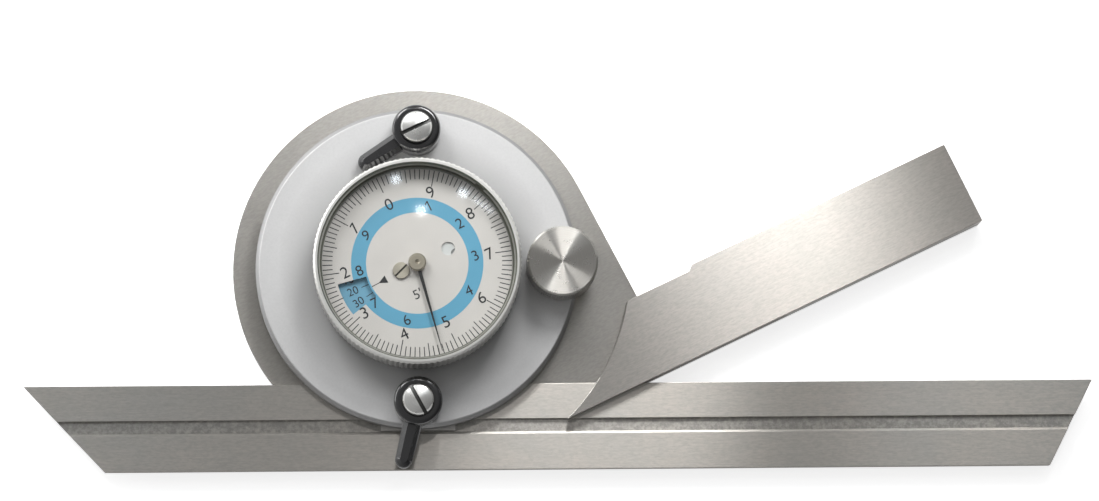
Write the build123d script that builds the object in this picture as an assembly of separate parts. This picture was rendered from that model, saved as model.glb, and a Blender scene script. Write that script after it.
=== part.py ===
from build123d import *
import math
import os

# Bevel protractor with a dial, lying on its back, in millimetres.
# The origin is on the turret's axis, at the back face of the stock.
# +Z points towards the dial and +X runs along the blade.

# Working edges of the stock and the blade
stock_angle = 25.2            # from the blade to the stock's arm, at rest
edge_distance = 56.5          # from the turret's axis to either working edge
bar_width = 24.1              # width of the blade and of the arm
inner_distance = edge_distance - bar_width

# Stock
plate_radius = 51.7
plate_thickness = 3.5
arm_length = 150.0            # from the turret's axis to the arm's square end
arm_thickness = 8.7
step_radius = 59.7            # the arm is thick outside this radius
neck_corner_x = 52.9
relief_depth = 1.4            # runout beside the neck, below the arm's inner edge
relief_end_x = 68.8
least_angle = 15.0            # the smallest angle that the tool can be set to
undercut_clearance = 0.3

# Blade
blade_length = 300.0
blade_thickness = 2.5
blade_left = 110.0            # from the axis to the left corner of the inner edge
blade_left_cut = 22.7         # how far the left end leans back over the width
blade_right_cut = 12.6
groove_offset = 9.9           # from the blade's inner edge
groove_width = 4.2
groove_depth = 1.1
groove_slope_width = 0.65      # of the sloped edge away from the turret
groove_slope_height = 0.35
slide_gap = 0.05

# Turret disc
turret_radius = 45.2
turret_lift = 0.3
rim_chamfer = 1.2
web_thickness = 3.7
rim_rise = 0.6                # from the web's top to the disc's face

# Hub that carries the turret
flange_radius = 29.5
flange_thickness = 2.5
journal_radius = 18.0
hub_bore_radius = 6.0
running_gap = 0.05
flange_gap = 0.3
web_play = 0.2
hub_screw_circle = 22.0
hub_screw_radius = 1.5
hub_screw_head_radius = 2.9
hub_screw_head_height = 1.4
hub_screw_slot = 0.8
hub_screw_slot_depth = 0.5
blind_wall = 0.3              # left at the end of a blind hole
end_gap = 0.1                 # between the end of an arbor or screw and what it points at

# Tooth form of all gears, in modules and in shares of the pitch
pressure_angle = 20.0
tip_height = 0.75
root_depth = 1.2
tooth_share = 0.42
flank_steps = 3

# Gear train that turns the pointer
train_module = 0.35
ring_teeth = 84
idler_pinion_teeth = 14
wheel_module = 0.25
wheel_teeth = 84
centre_pinion_teeth = 14
idler_direction = 90.0        # in the stock's frame
train_distance = train_module * (ring_teeth - idler_pinion_teeth) / 2
gear_face = 1.5
wheel_thickness = 0.7
pivot_radius = 0.6
arbor_radius = 1.0
centre_arbor_radius = 0.75
pivot_gap = 0.03
shoulder_gap = 0.15
bush_wall = 0.9
wheel_gap = 0.3               # from the ring gear's screws to the wheel
gear_fit = 0.03               # of the ring gear in its seat

# Fine adjustment
adjust_module = 0.4
adjust_ring_teeth = 216
adjust_pinion_teeth = 14
adjust_distance = adjust_module * (adjust_ring_teeth - adjust_pinion_teeth) / 2
adjust_ring_wall = 1.1
adjust_ring_height = 2.0
adjust_ring_inset = 0.1
adjust_shaft_radius = 2.0
recess_margin = 0.4
knob_top_wall = 2.5

# Base plate and bridge of the movement
base_radius = 20.9
base_thickness = 1.0
base_screw_circle = 16.4
base_screw_turn = 60.0        # from the idler to the first screw
base_screw_reach = 2.0
base_head_height = 0.3
tap_depth = 0.2               # of a hole beyond its screw
bridge_radius = 14.4
bridge_thickness = 1.0
bridge_gap = 0.8
bridge_head_inset = 0.7
boss_radius = 12.5
pillar_radius = 1.6
pillar_circle = 11.0
pillar_turns = (100.0, 180.0, 260.0)
pillar_screw_reach = 1.6
small_screw_radius = 0.6
small_head_radius = 1.2
small_head_height = 0.5
small_slot_turn = 30.0
head_edge_share = 0.2         # of the head's height
slot_share = 0.24             # of the head's radius

# Dial case and what lies in it
case_radius = 27.8
case_floor = 0.9
case_floor_radius = 21.3
gear_seat_radius = 24.4
seat_gap = 0.1
case_lip_radius = 26.9
tens_radius = 26.7
tens_inner_radius = 13.6
tens_thickness = 0.5
tens_gap = 0.7
snap_height = 0.5
snap_width = 0.9
snap_opening = 2.4
snap_turn = 70.0
face_radius = 26.5
face_thickness = 0.5
face_gap = 0.3
face_inset = 0.8
face_bore_gap = 0.8
face_hole_radius = 1.9
face_hole_distance = 9.5
face_screw_distance = 5.0
face_screw_radius = 0.8
face_screw_head_radius = 2.33
face_screw_head_height = 0.7
face_slot_turn = 20.0
window_inner_radius = 14.7
window_outer_radius = 22.9
window_half_angle = 12.0
window_direction = 181.6      # in the stock's frame
case_screw_radius = 0.8
case_screw_circle = 26.1
case_screw_head_radius = 1.5
case_screw_head_height = 1.2
case_screw_reach = 3.5
case_screw_slot = 0.5

# Bezel and crystal
bezel_radius = 29.0
bezel_gap = 0.1
bezel_lift = 1.8              # above the turret's face
bezel_rest_gap = 0.5
bezel_shoulder = 0.8
bezel_shoulder_width = 1.3
bezel_chamfer = 0.7
bezel_rim = 1.1               # from the outer side to the crystal's seat wall
bezel_lip = 0.3
bezel_lip_height = 0.6
bezel_knurls = 120
knurl_depth = 0.25
crystal_thickness = 1.2
crystal_seat_width = 0.5      # bezel wall outside of the crystal
crystal_rise = 2.6
crystal_gap = 0.05
crystal_ring_height = 0.8
crystal_ring_width = 0.4
crystal_ring_opening = 3.0
crystal_ring_turn = 50.0
bezel_depth = 3.5             # from the crystal's seat to the bezel's front
spring_wire_radius = 0.3
spring_gap = 0.05             # from the wire to the bezel's bore
spring_groove_depth = 0.9
spring_groove_play = 0.09

# Pointer
pointer_length = 25.7
pointer_tail = 2.0             # under the boss
pointer_width = 1.1
pointer_tip_width = 0.16
pointer_thickness = 0.35
pointer_direction = 285.3     # seen from the front, from +X
pointer_boss_radius = 2.46
pointer_boss_height = 1.7
pointer_boss_drop = 0.2       # of the boss below the needle
pointer_boss_cap = 0.6        # above the arbor's end
pointer_boss_edge = 0.3
dimple_radius = 0.7
dimple_tip = 0.05
dimple_depth = 0.5
pointer_clearance = 0.4

# Adjusting knob
knob_radius = 9.9
knob_height = 10.3
knob_chamfer = 0.6
knob_knurls = 96
knob_washer_thickness = 0.3
knob_washer_radius = 4.5
bush_flange_radius = 5.0
bush_flange = 0.4

# Lock lever and blade clamp lever
lever_distance = 38.3
lock_direction = 212.9
clamp_direction = 255.7
lock_slot_turn = 25.0
clamp_slot_turn = 118.4
lever_boss_radius = 6.8
lever_boss_height = 7.6
lever_reach = 16.6            # from the boss's axis to the centre of the arm's round end
lever_root_radius = 2.85
lever_end_radius = 2.4
lever_arm_height = 3.6
lever_arm_lift = 1.6
lever_screw_head_radius = 4.5
lever_screw_head_height = 2.9
lever_counterbore = 0.5
lever_gap = 0.1
lever_screw_gap = 0.1
lever_screw_reach = 3.8
lever_screw_radius = 1.5
lever_fillet = 1.3
arm_chamfer = 1.4
stud_radius = 2.5
stud_height = 6.2             # above the lever's seat
eccentric_radius = 2.0
eccentricity = 0.3
eccentric_play = 0.3
lock_eccentric_turn = 210.0
clamp_eccentric_turn = 30.0
lever_throw = 60.0
shoe_width = 12.0
shoe_height = 2.1
shoe_outer = 4.0              # from the stud's axis to the shoe's outer end
shoe_gap = 0.08
shoe_lap = 3.0                # over the hub's flange
shoe_lift = 0.1
jaw_width = 13.0
jaw_height = 2.1
jaw_inner = 3.3               # from the stud's axis to the jaw's inner end
jaw_lap = 0.75                # beyond the groove's edge
jaw_lift = 0.05
hook_thickness = 0.7
tongue_length = 20.8
tongue_play = 0.1
tongue_depth = 0.9
pocket_gap = 0.15

# Levels, from the back of the stock to the front of the dial
blade_back = plate_thickness + slide_gap
blade_front = blade_back + blade_thickness
turret_back = plate_thickness + turret_lift
flange_top = plate_thickness + flange_thickness
web_back = flange_top + web_play
web_top = web_back + web_thickness
journal_top = web_top + seat_gap
base_top = journal_top + base_thickness
turret_face = web_top + rim_rise
gear_seat = turret_face + case_floor
gear_top = gear_seat + gear_face
wheel_back = gear_top + small_head_height + wheel_gap
wheel_top = wheel_back + wheel_thickness
bridge_back = wheel_top + bridge_gap
bridge_top = bridge_back + bridge_thickness
tens_back = bridge_top + tens_gap
tens_top = tens_back + tens_thickness
face_back = tens_top + snap_height + face_gap
face_top = face_back + face_thickness
case_top = face_top + face_inset
pointer_back = face_top + face_screw_head_height + pointer_clearance
shoulder_back = case_top + bezel_rest_gap
crystal_seat = shoulder_back + bezel_shoulder
crystal_edge_top = crystal_seat + crystal_thickness
bezel_back = turret_face + bezel_lift
bezel_front = crystal_seat + bezel_depth
lever_seat = turret_face + web_play + lever_gap
knob_back = turret_face + bush_flange + knob_washer_thickness

nodes = {}


def disc(radius, low, high, x=0.0, y=0.0):
    """A round bar along Z between two levels."""
    return Pos(x, y, low) * Cylinder(radius, high - low, align=(Align.CENTER, Align.CENTER, Align.MIN))


def ring(outer, inner, low, high, x=0.0, y=0.0):
    """A round collar along Z between two levels."""
    return disc(outer, low, high, x, y) - disc(inner, low - 1, high + 1, x, y)


def block(x_low, x_high, y_low, y_high, z_low, z_high):
    """A box given by its two corners."""
    box = Box(x_high - x_low, y_high - y_low, z_high - z_low, align=(Align.MIN, Align.MIN, Align.MIN))
    return Pos(x_low, y_low, z_low) * box


def prism(points, low, high):
    """A plate with the given outline between two levels."""
    outline = make_face(Polyline(*points, close=True))
    return Pos(0, 0, low) * extrude(outline, high - low)


def polar(radius, degrees):
    """A point on a circle about the turret's axis."""
    angle = math.radians(degrees)
    return (radius * math.cos(angle), radius * math.sin(angle))


def around(count, radius, start=0.0):
    """Evenly spaced places on a circle about the turret's axis."""
    return [polar(radius, start + 360.0 * index / count) for index in range(count)]


def together(solids):
    """Several separate solids as one node."""
    return Compound(children=list(solids))


def keep(name, shape):
    """File a finished piece under its name."""
    nodes[name] = shape


def involute_angle(radius, base_radius):
    """Polar angle that an involute has turned through at a radius."""
    if radius <= base_radius:
        return 0.0
    ratio = math.sqrt((radius / base_radius) ** 2 - 1)
    return ratio - math.atan(ratio)


def gear_points(teeth, module, tip, root, width_share, phase):
    """Outline of an involute gear with one tooth centred on the phase angle.

    Tip and root are lengths from the pitch circle, and width_share is the
    tooth's share of the pitch on the pitch circle."""
    pitch_radius = module * teeth / 2
    base_radius = pitch_radius * math.cos(math.radians(pressure_angle))
    half_width = math.pi * width_share / teeth
    at_pitch = involute_angle(pitch_radius, base_radius)
    radii = [pitch_radius - root + (tip + root) * step / flank_steps for step in range(flank_steps + 1)]
    points = []
    for tooth in range(teeth):
        centre = math.radians(phase) + 2 * math.pi * tooth / teeth
        flank = [(r, half_width + at_pitch - involute_angle(r, base_radius)) for r in radii]
        for radius, half in flank:
            points.append((radius * math.cos(centre - half), radius * math.sin(centre - half)))
        for radius, half in reversed(flank):
            points.append((radius * math.cos(centre + half), radius * math.sin(centre + half)))
    return points


def outer_gear(teeth, module, low, high, phase):
    """A gear with thinned teeth, so that it runs with backlash."""
    outline = gear_points(teeth, module, tip_height * module, root_depth * module, tooth_share, phase)
    return prism(outline, low, high)


def inner_gear(teeth, module, outer, low, high, phase):
    """An internal gear with a tooth space centred on the phase angle."""
    outline = gear_points(teeth, module, root_depth * module, tip_height * module, 1 - tooth_share, phase)
    return disc(outer, low, high) - prism(outline, low - 1, high + 1)


def knurled(radius, depth, count, low, high):
    """A round bar with V grooves along its side."""
    points = []
    for index in range(count):
        points.append(polar(radius, 360.0 * index / count))
        points.append(polar(radius - depth, 360.0 * (index + 0.5) / count))
    return prism(points, low, high)


def revolved(points):
    """A solid of revolution about Z from an outline of (radius, level) points."""
    outline = make_face(Polyline(*[(radius, 0, level) for radius, level in points], close=True))
    return revolve(outline, Axis.Z)


def slotted_screw(x, y, seat, head_radius, head_height, shank_radius, length, turn):
    """A cheese head screw that points down, with its head on the seat."""
    head = disc(head_radius, seat, seat + head_height, x, y)
    head = chamfer(head.edges().group_by(Axis.Z)[-1], head_height * head_edge_share)
    slot = Box(3 * head_radius, head_radius * slot_share, head_height)
    head -= Pos(x, y, seat + head_height) * Rot(0, 0, turn) * slot
    return head + disc(shank_radius, seat - length, seat, x, y)


def in_stock(shape):
    """Turn a shape from the stock's own frame to its place at rest."""
    return Rot(0, 0, stock_angle) * shape


def make_stock():
    """The plate, its neck and the thick arm that the tip undercuts."""
    tip_x = math.sqrt(step_radius ** 2 - edge_distance ** 2)
    tip_angle = math.degrees(math.atan2(-edge_distance, tip_x))
    lower_tangent = polar(plate_radius, tip_angle - math.degrees(math.acos(plate_radius / step_radius)))
    relief_y = -inner_distance - relief_depth
    corner_distance = math.hypot(neck_corner_x, relief_y)
    corner_angle = math.degrees(math.atan2(relief_y, neck_corner_x))
    corner_turn = math.degrees(math.acos(plate_radius / corner_distance))
    upper_tangent = polar(plate_radius, corner_angle + corner_turn)
    arm_points = [
        (neck_corner_x, relief_y),
        (relief_end_x, relief_y),
        (relief_end_x + relief_depth, -inner_distance),
        (arm_length, -inner_distance),
        (arm_length, -edge_distance),
        (tip_x, -edge_distance),
    ]
    low_points = [(0, 0), upper_tangent] + arm_points + [lower_tangent]
    plate = disc(plate_radius, 0, plate_thickness) + prism(low_points, 0, plate_thickness)
    high_points = [(0, relief_y)] + arm_points + [(0, -edge_distance)]
    arm = prism(high_points, 0, arm_thickness) - disc(step_radius, -1, arm_thickness + 1)
    stock = plate + arm
    ceiling = blade_front + undercut_clearance
    passage = block(-blade_length, blade_length, -blade_length, -inner_distance + undercut_clearance,
                    plate_thickness, ceiling)
    stock -= Rot(0, 0, undercut_clearance - least_angle) * passage
    stock = in_stock(stock)
    recess_low = plate_thickness - adjust_ring_height - adjust_ring_inset
    pinion_reach = adjust_module * adjust_pinion_teeth / 2 + adjust_module
    recess_inner = adjust_distance - pinion_reach - recess_margin
    stock -= ring(adjust_ring_radius(), recess_inner, recess_low, plate_thickness + 1)
    for x, y in around(4, hub_screw_circle, stock_angle):
        stock -= disc(hub_screw_radius, -1, plate_thickness + 1, x, y)
        head = Cone(hub_screw_head_radius, hub_screw_radius, hub_screw_head_height,
                    align=(Align.CENTER, Align.CENTER, Align.MIN))
        stock -= Pos(x, y, 0) * head
    keep("stock", stock)


def adjust_ring_radius():
    """Outside radius of the fine adjustment's ring gear."""
    return adjust_module * (adjust_ring_teeth / 2 + root_depth) + adjust_ring_wall


def make_hub():
    """Flanged hub, screwed to the stock from behind, and its screws."""
    hub = disc(flange_radius, plate_thickness, flange_top) + disc(journal_radius, flange_top, journal_top)
    hub -= disc(hub_bore_radius, plate_thickness - 1, journal_top + 1)
    screw_end = flange_top - blind_wall
    screws = []
    for x, y in around(4, hub_screw_circle, stock_angle):
        hub -= disc(hub_screw_radius, plate_thickness - 1, screw_end, x, y)
        head = Cone(hub_screw_head_radius, hub_screw_radius, hub_screw_head_height,
                    align=(Align.CENTER, Align.CENTER, Align.MIN))
        slot = Box(3 * hub_screw_head_radius, hub_screw_slot, 2 * hub_screw_slot_depth)
        screw = Pos(x, y, 0) * head + disc(hub_screw_radius, hub_screw_head_height, screw_end, x, y)
        screws.append(screw - Pos(x, y, 0) * Rot(0, 0, stock_angle) * slot)
    for x, y in around(3, base_screw_circle, stock_angle + base_screw_start()):
        hub -= disc(small_screw_radius, journal_top - base_screw_reach - tap_depth, journal_top + 1, x, y)
    keep("hub", hub)
    keep("hub_screws", together(screws))


def base_screw_start():
    """Direction of the first base plate screw, in the stock's frame."""
    return idler_direction + base_screw_turn


def make_adjust_ring():
    """Internal ring gear let into the stock's plate."""
    low = plate_thickness - adjust_ring_height - adjust_ring_inset
    high = plate_thickness - adjust_ring_inset
    keep("adjust_ring", inner_gear(adjust_ring_teeth, adjust_module, adjust_ring_radius(), low, high, 0))


def make_adjuster():
    """Knob, shaft with its pinion, washer and bush of the fine adjustment."""
    low = plate_thickness - adjust_ring_height - adjust_ring_inset + end_gap
    high = plate_thickness - adjust_ring_inset
    pinion = outer_gear(adjust_pinion_teeth, adjust_module, low, high, 0)
    shaft = Pos(adjust_distance, 0, 0) * pinion
    shaft_top = knob_back + knob_height - knob_top_wall
    shaft += disc(adjust_shaft_radius, low, shaft_top, adjust_distance, 0)
    keep("adjust_pinion", shaft)
    bush = disc(adjust_shaft_radius + bush_wall, turret_back, turret_face, adjust_distance, 0)
    bush += disc(bush_flange_radius, turret_face, turret_face + bush_flange, adjust_distance, 0)
    bush -= disc(adjust_shaft_radius + running_gap, turret_back - 1, knob_back, adjust_distance, 0)
    keep("adjust_bush", bush)
    keep("adjust_washer", ring(knob_washer_radius, adjust_shaft_radius, turret_face + bush_flange,
                               knob_back, adjust_distance, 0))
    top = knob_back + knob_height
    body = revolved([
        (0, knob_back),
        (knob_radius - knob_chamfer, knob_back),
        (knob_radius, knob_back + knob_chamfer),
        (knob_radius, top - knob_chamfer),
        (knob_radius - knob_chamfer, top),
        (0, top),
    ])
    body = body & knurled(knob_radius, knurl_depth, knob_knurls, knob_back, top)
    body -= disc(adjust_shaft_radius, knob_back - 1, shaft_top)
    keep("adjust_knob", Pos(adjust_distance, 0, 0) * body)


def make_turret():
    """The turret disc, with its seat for the blade and pockets for the clamps."""
    disc_low = turret_back
    turret = disc(turret_radius, disc_low, turret_face)
    turret = chamfer(turret.edges().group_by(Axis.Z)[-1], rim_chamfer)
    turret -= disc(flange_radius + flange_gap, disc_low - 1, web_back)
    turret -= disc(journal_radius + running_gap, web_back - 1, web_top)
    turret -= disc(case_floor_radius, web_top, turret_face + 1)
    far = 2 * turret_radius
    turret -= block(-far, far, -far, -inner_distance + slide_gap, disc_low - 1, blade_front + slide_gap)
    turret -= disc(adjust_shaft_radius + bush_wall, disc_low - 1, turret_face + 1, adjust_distance, 0)
    for y in (lever_distance, -lever_distance):
        turret -= disc(stud_radius + bush_wall, disc_low - 1, turret_face + 1, 0, y)
    shoe_half = shoe_width / 2 + pocket_gap
    turret -= block(-shoe_half, shoe_half, flange_radius - shoe_lap,
                    lever_distance + shoe_outer + eccentricity + pocket_gap, disc_low - 1,
                    shoe_back() + shoe_height + pocket_gap)
    jaw_half = jaw_width / 2 + pocket_gap
    turret -= block(-jaw_half, jaw_half, jaw_outer_y() - eccentricity - pocket_gap,
                    -lever_distance + jaw_inner + pocket_gap, blade_front,
                    jaw_back() + jaw_height + pocket_gap)
    seat = web_back + case_screw_head_height + end_gap
    for x, y in case_screw_places():
        turret -= disc(case_screw_head_radius, web_back - 1, seat, x, y)
        turret -= disc(case_screw_radius, web_back, turret_face + 1, x, y)
    keep("turret_disc", turret)


def case_screw_places():
    """The four screws that hold the dial case on the turret."""
    return around(4, case_screw_circle, 45.0)


def ring_screw_places():
    """The three screws that hold the ring gear in the dial case."""
    return around(3, (case_floor_radius + gear_seat_radius) / 2, 30.0)


def make_case():
    """The dial case on the turret, its screws, and the spring for the bezel."""
    case = disc(case_radius, turret_face, case_top)
    case -= disc(case_floor_radius, turret_face - 1, gear_seat + 1)
    case -= disc(gear_seat_radius, gear_seat, tens_back + 1)
    case -= disc(case_lip_radius, tens_back, case_top + 1)
    spring_level = (bezel_back + tens_back) / 2
    groove_half = spring_wire_radius + spring_groove_play
    case -= ring(case_radius + 1, case_radius - spring_groove_depth, spring_level - groove_half,
                 spring_level + groove_half)
    screws = []
    for x, y in case_screw_places():
        seat = web_back + case_screw_head_height + end_gap
        end = turret_face + case_screw_reach
        case -= disc(case_screw_radius, turret_face - 1, end, x, y)
        head = disc(case_screw_head_radius, web_back + end_gap, seat, x, y)
        slot = Box(3 * case_screw_head_radius, case_screw_slot, case_screw_head_height)
        head -= Pos(x, y, web_back + end_gap) * slot
        screws.append(head + disc(case_screw_radius, seat, end, x, y))
    for x, y in ring_screw_places():
        case -= disc(small_screw_radius, turret_face - 1, gear_seat + 1, x, y)
    keep("dial_case", case)
    keep("case_screws", together(screws))
    wire = Torus(case_radius + bezel_gap - spring_gap - spring_wire_radius, spring_wire_radius)
    keep("bezel_spring", Pos(0, 0, spring_level) * wire)


def make_ring_gear():
    """Ring gear that drives the pointer, and its three screws."""
    gear = inner_gear(ring_teeth, train_module, gear_seat_radius - gear_fit, gear_seat, gear_top,
                      stock_angle + idler_direction)
    screws = []
    for x, y in ring_screw_places():
        gear -= disc(small_screw_radius, gear_seat - 1, gear_top + 1, x, y)
        screws.append(slotted_screw(x, y, gear_top, small_head_radius, small_head_height, small_screw_radius,
                                    gear_top - turret_face, small_slot_turn))
    keep("drive_ring_gear", gear)
    keep("ring_gear_screws", together(screws))


def make_base_plate():
    """Plate that keeps the turret on its journal and carries the movement."""
    idler_x, idler_y = polar(train_distance, stock_angle + idler_direction)
    plate = disc(base_radius, journal_top, base_top)
    plate -= disc(centre_arbor_radius + bush_wall, journal_top - 1, base_top + 1)
    plate -= disc(pivot_radius + bush_wall, journal_top - 1, base_top + 1, idler_x, idler_y)
    screws = []
    for x, y in around(3, base_screw_circle, stock_angle + base_screw_start()):
        plate -= disc(small_screw_radius, journal_top - 1, base_top + 1, x, y)
        screws.append(slotted_screw(x, y, base_top, small_head_radius, base_head_height, small_screw_radius,
                                    base_thickness + base_screw_reach, small_slot_turn))
    for x, y in pillar_places():
        plate -= disc(small_screw_radius, journal_top - 1, base_top + 1, x, y)
    keep("base_plate", plate)
    keep("base_plate_screws", together(screws))
    keep("base_bushes", together([
        ring(centre_arbor_radius + bush_wall, centre_arbor_radius + pivot_gap, journal_top, base_top),
        ring(pivot_radius + bush_wall, pivot_radius + pivot_gap, journal_top, base_top, idler_x, idler_y),
    ]))


def pillar_places():
    """The three pillars, all on the side away from the wheel."""
    return [polar(pillar_circle, stock_angle + idler_direction + turn) for turn in pillar_turns]


def make_bridge():
    """Pillars, bridge with its boss for the dial, bushes and screws."""
    idler_x, idler_y = polar(train_distance, stock_angle + idler_direction)
    pillars = []
    screws = []
    bridge = disc(bridge_radius, bridge_back, bridge_top) + disc(boss_radius, bridge_top, face_back)
    bridge -= disc(centre_arbor_radius + bush_wall, bridge_back - 1, face_back + 1)
    bridge -= disc(pivot_radius + bush_wall, bridge_back - 1, face_back + 1, idler_x, idler_y)
    for x, y in pillar_places():
        pillar = disc(pillar_radius, base_top, bridge_back, x, y)
        pillar += disc(small_screw_radius, journal_top, base_top, x, y)
        bore_end = bridge_back - pillar_screw_reach - tap_depth
        pillars.append(pillar - disc(small_screw_radius, bore_end, bridge_back + 1, x, y))
        seat = face_back - bridge_head_inset
        bridge -= disc(small_head_radius, seat, face_back + 1, x, y)
        bridge -= disc(small_screw_radius, bridge_back - 1, face_back + 1, x, y)
        screws.append(slotted_screw(x, y, seat, small_head_radius, small_head_height, small_screw_radius,
                                    seat - bridge_back + pillar_screw_reach, small_slot_turn))
    screw_x, screw_y = polar(face_screw_distance, stock_angle + 180)
    bridge -= disc(face_screw_radius, bridge_back + blind_wall, face_back + 1, screw_x, screw_y)
    keep("movement_pillars", together(pillars))
    keep("bridge", bridge)
    keep("bridge_screws", together(screws))
    keep("bridge_bushes", together([
        ring(centre_arbor_radius + bush_wall, centre_arbor_radius + pivot_gap, bridge_back, face_back),
        ring(pivot_radius + bush_wall, pivot_radius + pivot_gap, bridge_back, bridge_top, idler_x, idler_y),
    ]))


def make_idler():
    """Idler arbor with its pinion, and the wheel on it."""
    direction = stock_angle + idler_direction
    x, y = polar(train_distance, direction)
    pinion_low = gear_seat - end_gap
    pinion_high = gear_top + end_gap
    pinion = outer_gear(idler_pinion_teeth, train_module, pinion_low, pinion_high, direction)
    arbor = Pos(x, y, 0) * pinion
    arbor += disc(pivot_radius, journal_top + end_gap, bridge_top - end_gap, x, y)
    arbor += disc(arbor_radius, pinion_high, bridge_back - shoulder_gap, x, y)
    wheel = outer_gear(wheel_teeth, wheel_module, wheel_back, wheel_top, direction + 180)
    wheel -= disc(arbor_radius, wheel_back - 1, wheel_top + 1)
    keep("idler_arbor", arbor)
    keep("idler_wheel", Pos(x, y, 0) * wheel)


def make_pointer():
    """Centre arbor with its pinion, and the pointer pressed on its end."""
    direction = stock_angle + idler_direction
    half_pitch = 180.0 / centre_pinion_teeth
    pinion = outer_gear(centre_pinion_teeth, wheel_module, wheel_back - shoulder_gap,
                        wheel_top + shoulder_gap, direction + half_pitch)
    boss_back = pointer_back - pointer_boss_drop
    boss_top = boss_back + pointer_boss_height
    arbor_top = boss_top - pointer_boss_cap
    arbor = pinion + disc(centre_arbor_radius, journal_top + end_gap, arbor_top)
    keep("centre_arbor", arbor)
    half = pointer_width / 2
    tip = pointer_tip_width / 2
    needle = prism([
        (-pointer_tail, -half),
        (0, -half),
        (pointer_length, -tip),
        (pointer_length, tip),
        (0, half),
        (-pointer_tail, half),
    ], pointer_back, pointer_back + pointer_thickness)
    boss = disc(pointer_boss_radius, boss_back, boss_top)
    boss = chamfer(boss.edges().group_by(Axis.Z)[-1], pointer_boss_edge)
    pointer = Rot(0, 0, pointer_direction) * needle + boss
    pointer -= disc(centre_arbor_radius, pointer_back - 1, arbor_top)
    dimple = Cone(dimple_tip, dimple_radius, dimple_depth, align=(Align.CENTER, Align.CENTER, Align.MAX))
    keep("pointer", pointer - Pos(0, 0, boss_top) * dimple)


def window_shape(low, high):
    """The window in the dial face, as a sector of a ring."""
    span = math.radians(window_half_angle)
    outline = ring(window_outer_radius, window_inner_radius, low, high)
    reach = 2 * window_outer_radius
    wedge = prism([(0, 0), (-reach, reach * math.tan(span)), (-reach, -reach * math.tan(span))], low, high)
    return outline & wedge


def make_dial():
    """Dial face, its screw, the tens disc behind it and the snap ring."""
    face = disc(face_radius, face_back, face_top)
    face -= disc(centre_arbor_radius + face_bore_gap, face_back - 1, face_top + 1)
    face -= disc(face_screw_radius, face_back - 1, face_top + 1, -face_screw_distance, 0)
    face -= disc(face_hole_radius, face_back - 1, face_top + 1, face_hole_distance, 0)
    face -= Rot(0, 0, window_direction - 180) * window_shape(face_back - 1, face_top + 1)
    keep("dial_face", in_stock(face))
    screw = slotted_screw(-face_screw_distance, 0, face_top, face_screw_head_radius, face_screw_head_height,
                          face_screw_radius, face_top - bridge_back - blind_wall - end_gap, face_slot_turn)
    keep("face_screw", in_stock(screw))
    keep("tens_disc", ring(tens_radius, tens_inner_radius, tens_back, tens_top))
    snap = ring(case_lip_radius, case_lip_radius - snap_width, tens_top, tens_top + snap_height)
    gap = block(0, case_radius, -snap_opening / 2, snap_opening / 2, tens_top - 1, tens_top + snap_height + 1)
    keep("tens_snap_ring", snap - Rot(0, 0, snap_turn) * gap)


def make_bezel():
    """Knurled bezel with its crystal and the spring ring that holds the crystal."""
    skirt_inner = case_radius + bezel_gap
    shoulder_inner = skirt_inner - bezel_shoulder_width
    seat_radius = bezel_radius - bezel_rim - crystal_seat_width
    body = revolved([
        (skirt_inner, bezel_back),
        (bezel_radius - bezel_chamfer, bezel_back),
        (bezel_radius, bezel_back + bezel_chamfer),
        (bezel_radius, bezel_front - bezel_chamfer),
        (bezel_radius - bezel_chamfer, bezel_front),
        (seat_radius + bezel_lip, bezel_front),
        (seat_radius, bezel_front - bezel_lip_height),
        (seat_radius, crystal_seat),
        (shoulder_inner, crystal_seat),
        (shoulder_inner, shoulder_back),
        (skirt_inner, shoulder_back),
    ])
    keep("bezel", body & knurled(bezel_radius, knurl_depth, bezel_knurls, bezel_back, bezel_front))
    edge = seat_radius - crystal_gap
    inner_edge = edge - crystal_ring_width
    keep("crystal", dome(edge, inner_edge))
    lock = ring(seat_radius, seat_radius - crystal_ring_width, crystal_edge_top,
                crystal_edge_top + crystal_ring_height)
    half = crystal_ring_opening / 2
    gap = block(0, bezel_radius, -half, half, crystal_edge_top - 1, bezel_front)
    keep("crystal_ring", lock - Rot(0, 0, crystal_ring_turn) * gap)


def dome(edge, inner_edge):
    """The domed crystal with a flat rim."""
    sphere = (inner_edge ** 2 + crystal_rise ** 2) / (2 * crystal_rise)
    blank = disc(edge, crystal_seat, crystal_edge_top + crystal_rise)
    outside = Pos(0, 0, crystal_edge_top + crystal_rise - sphere) * Sphere(sphere)
    inside = Pos(0, 0, crystal_seat + crystal_rise - sphere) * Sphere(sphere)
    rim = disc(edge, crystal_seat, crystal_edge_top)
    return (blank & outside) + rim - inside


def shoe_back():
    """Level of the lock shoe's back."""
    return turret_back + shoe_lift


def jaw_back():
    """Level of the clamp jaw's body."""
    return blade_front + slide_gap + jaw_lift


def groove_top():
    """Edge of the blade's groove on the turret's side."""
    return -inner_distance - groove_offset


def groove_slope_foot():
    """Far side of the groove's floor, where its sloped edge starts."""
    return groove_top() - groove_width + groove_slope_width


def jaw_outer_y():
    """Outer end of the clamp jaw's body."""
    return groove_top() - jaw_lap


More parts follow.
